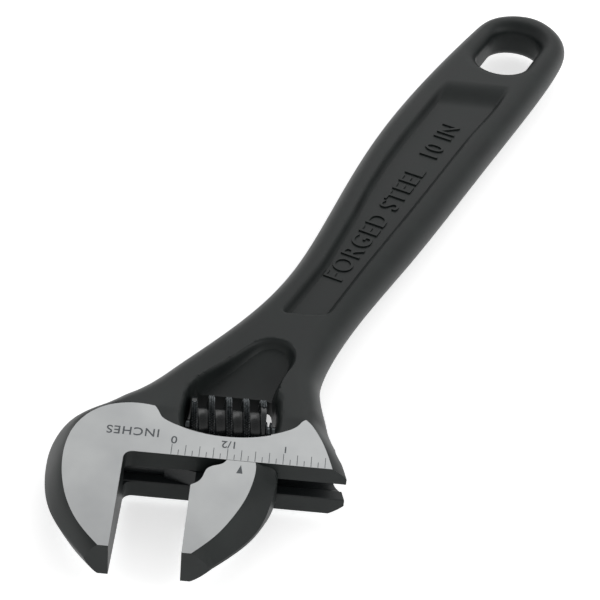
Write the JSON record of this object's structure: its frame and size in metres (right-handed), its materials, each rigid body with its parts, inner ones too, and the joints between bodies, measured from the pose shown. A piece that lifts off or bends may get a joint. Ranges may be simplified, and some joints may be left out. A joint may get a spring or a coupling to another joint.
{
  "type": "adjustable wrench",
  "caption": "Adjustable wrench: forged body with fixed jaw, sliding movable jaw on a round rail, and a knurled worm that drives it.",
  "frame": {"origin": "middle of the fixed jaw's face, halfway through the thickness", "axes": "+X along the handle from the head to the hang hole, +Y towards the back of the fixed jaw, +Z out of the face that carries the scale"},
  "size_m": [0.2589, 0.0639, 0.017],
  "materials": {
    "forged_body": "black phosphated forging with ground faces",
    "forged_jaw": "black phosphated forging with ground faces",
    "worm_steel": "black oxide, knurled",
    "pin_steel": "turned",
    "spring_steel": "drawn wire"
  },
  "bodies": {
    "frame": {"body": "forged_body", "worm_pin": "pin_steel", "worm_spring": "spring_steel"},
    "jaw": {"movable_jaw": "forged_jaw"},
    "knurl": {"worm": "worm_steel"}
  },
  "joints": [
    {"name": "jaw_slide", "type": "slide", "parent": "frame", "child": "jaw", "axis": [0.3827, -0.9239, 0], "range_m": [-0.01575, 0.01905]},
    {"name": "worm_spin", "type": "hinge", "parent": "frame", "child": "knurl", "pos_m": [0.03211, -0.00121, 0], "axis": [0.3827, -0.9239, 0], "range_deg": [-1698, 1405]}
  ],
  "couplings": [
    {"joint": "worm_spin", "follows": "jaw_slide", "rad_per_m": -1551.4}
  ]
}
